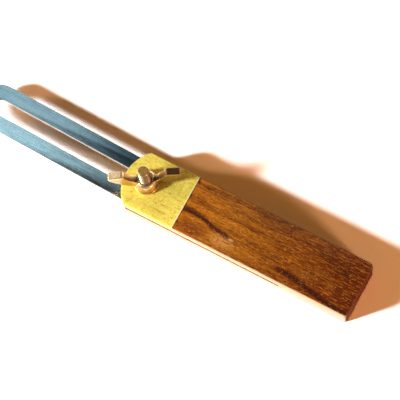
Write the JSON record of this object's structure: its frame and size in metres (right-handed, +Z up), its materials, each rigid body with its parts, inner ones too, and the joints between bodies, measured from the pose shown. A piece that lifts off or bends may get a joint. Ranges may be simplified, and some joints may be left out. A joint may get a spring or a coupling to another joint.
{
  "type": "sliding bevel",
  "caption": "Sliding bevel: a slotted steel blade swings and slides in a rosewood stock with brass face plates, and a wing nut on a tall bolt clamps it",
  "frame": {"origin": "The middle of the stock's length and width, on the stock's underside, which is the face the tool lies on.", "axes": "+X runs along the stock to its butt, and the blade leaves towards -X. +Y is the stock's closed back edge, and -Y the edge where the kerf is open. +Z is up, through the bolt to the wing nut."},
  "size_m": [0.2348, 0.0318, 0.0365],
  "materials": {
    "stock_wood": "oiled rosewood, satin",
    "plate_brass": "brushed brass, lightly tarnished",
    "pin_brass": "brushed brass, filed flush",
    "blade_steel": "blued steel with bare edges",
    "bolt_brass": "turned brass, dull",
    "washer_brass": "turned brass",
    "nut_brass": "cast brass, polished by handling"
  },
  "bodies": {
    "stock": {"stock": "stock_wood", "upper_face_plate": "plate_brass", "lower_face_plate": "plate_brass", "upper_plate_pin_1": "pin_brass", "upper_plate_pin_2": "pin_brass", "upper_plate_pin_3": "pin_brass", "upper_plate_pin_4": "pin_brass", "lower_plate_pin_1": "pin_brass", "lower_plate_pin_2": "pin_brass", "lower_plate_pin_3": "pin_brass", "lower_plate_pin_4": "pin_brass"},
    "pivot_bolt": {"pivot_bolt": "bolt_brass"},
    "blade": {"blade": "blade_steel"},
    "washer": {"washer": "washer_brass"},
    "wing_nut": {"wing_nut": "nut_brass"}
  },
  "joints": [
    {"name": "blade_swing", "type": "hinge", "parent": "stock", "child": "pivot_bolt", "pos_m": [-0.05735, 0, 0.00795], "axis": [0, 0, -1], "range_deg": [-1.7, 118]},
    {"name": "blade_slide", "type": "slide", "parent": "pivot_bolt", "child": "blade", "axis": [-0.9995, 0.0305, 0], "range_m": [-0.003, 0.018]},
    {"name": "washer_lift", "type": "slide", "parent": "stock", "child": "washer", "axis": [0, 0, 1], "range_m": [0, 0.0026]},
    {"name": "nut_turn", "type": "hinge", "parent": "washer", "child": "wing_nut", "pos_m": [-0.05735, 0, 0.0244], "axis": [0, 0, 1], "range_deg": [0, 720]}
  ],
  "couplings": [
    {"joint": "washer_lift", "follows": "nut_turn", "m_per_rad": 0.00020213}
  ]
}
